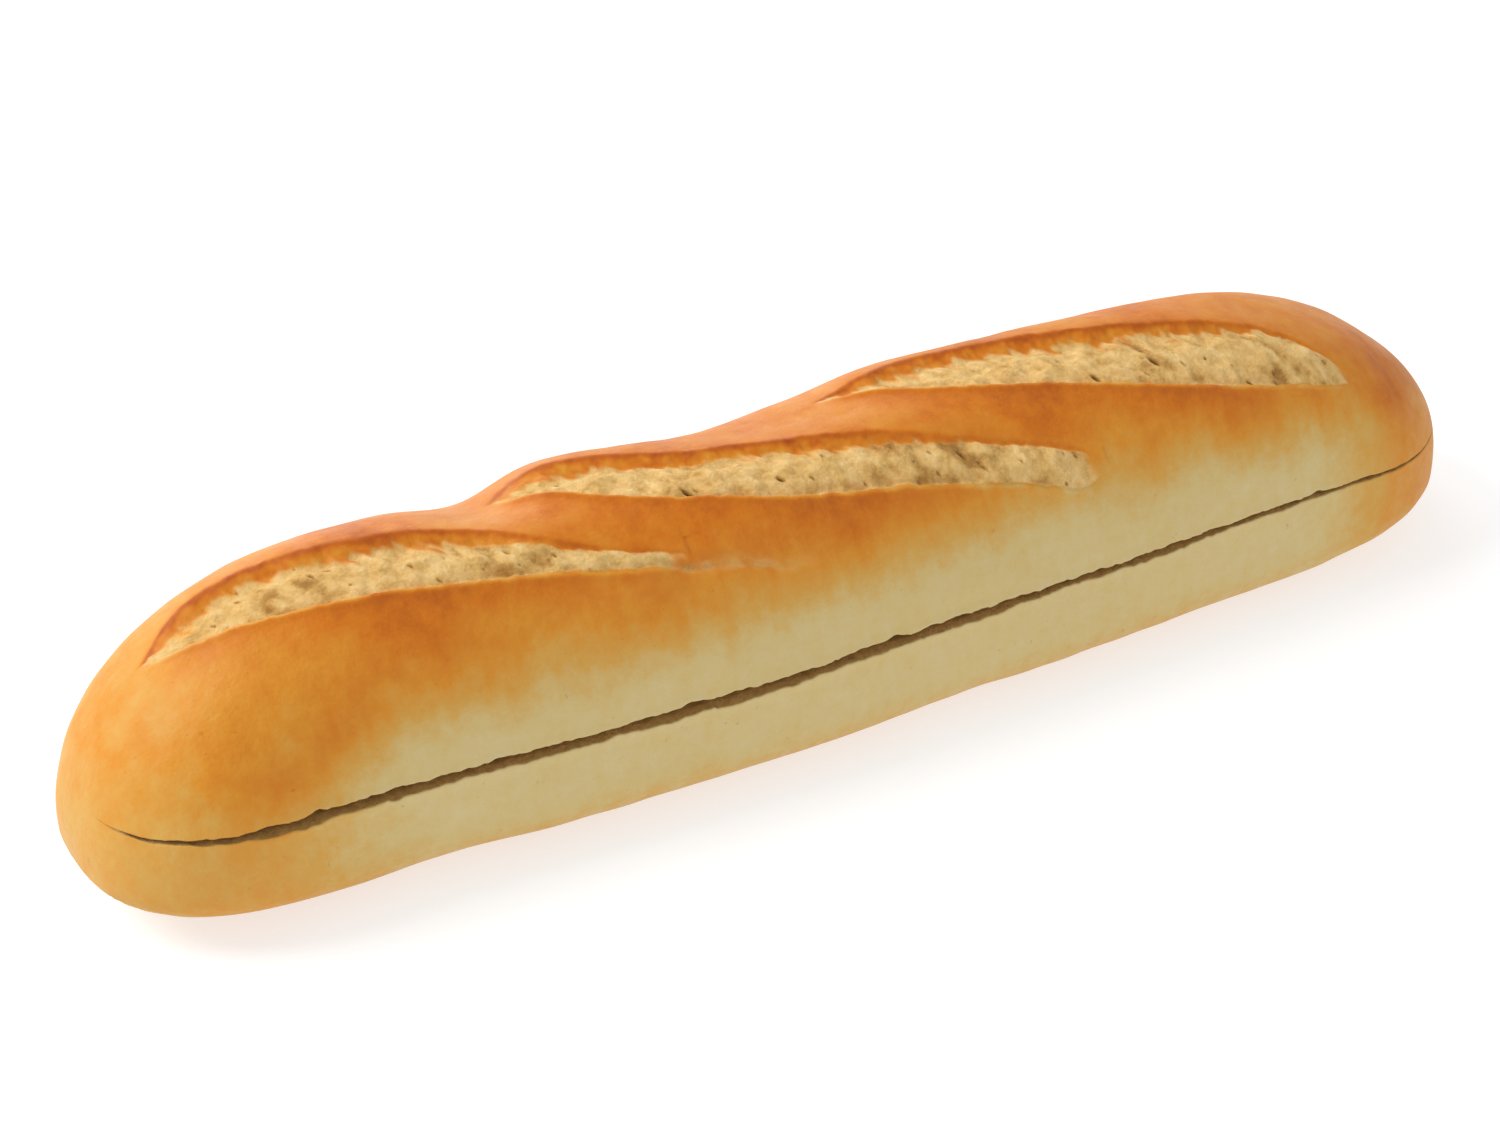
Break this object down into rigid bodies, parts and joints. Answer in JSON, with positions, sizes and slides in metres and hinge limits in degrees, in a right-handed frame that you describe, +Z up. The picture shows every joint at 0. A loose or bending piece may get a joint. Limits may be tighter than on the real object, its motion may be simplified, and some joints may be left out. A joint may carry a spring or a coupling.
{
  "type": "baguette",
  "caption": "Short white sandwich baguette with round ends, diagonal slashes on top and a blade cut along its front that opens it for a filling.",
  "frame": {"origin": "under the middle of the loaf, on the flat of its base that it rests on", "axes": "+X along the loaf, -Y towards the side with the blade cut, +Z up"},
  "size_m": [0.27, 0.06, 0.052],
  "materials": {
    "crust": "satin"
  },
  "bodies": {
    "root": {"loaf": "crust"}
  },
  "joints": []
}
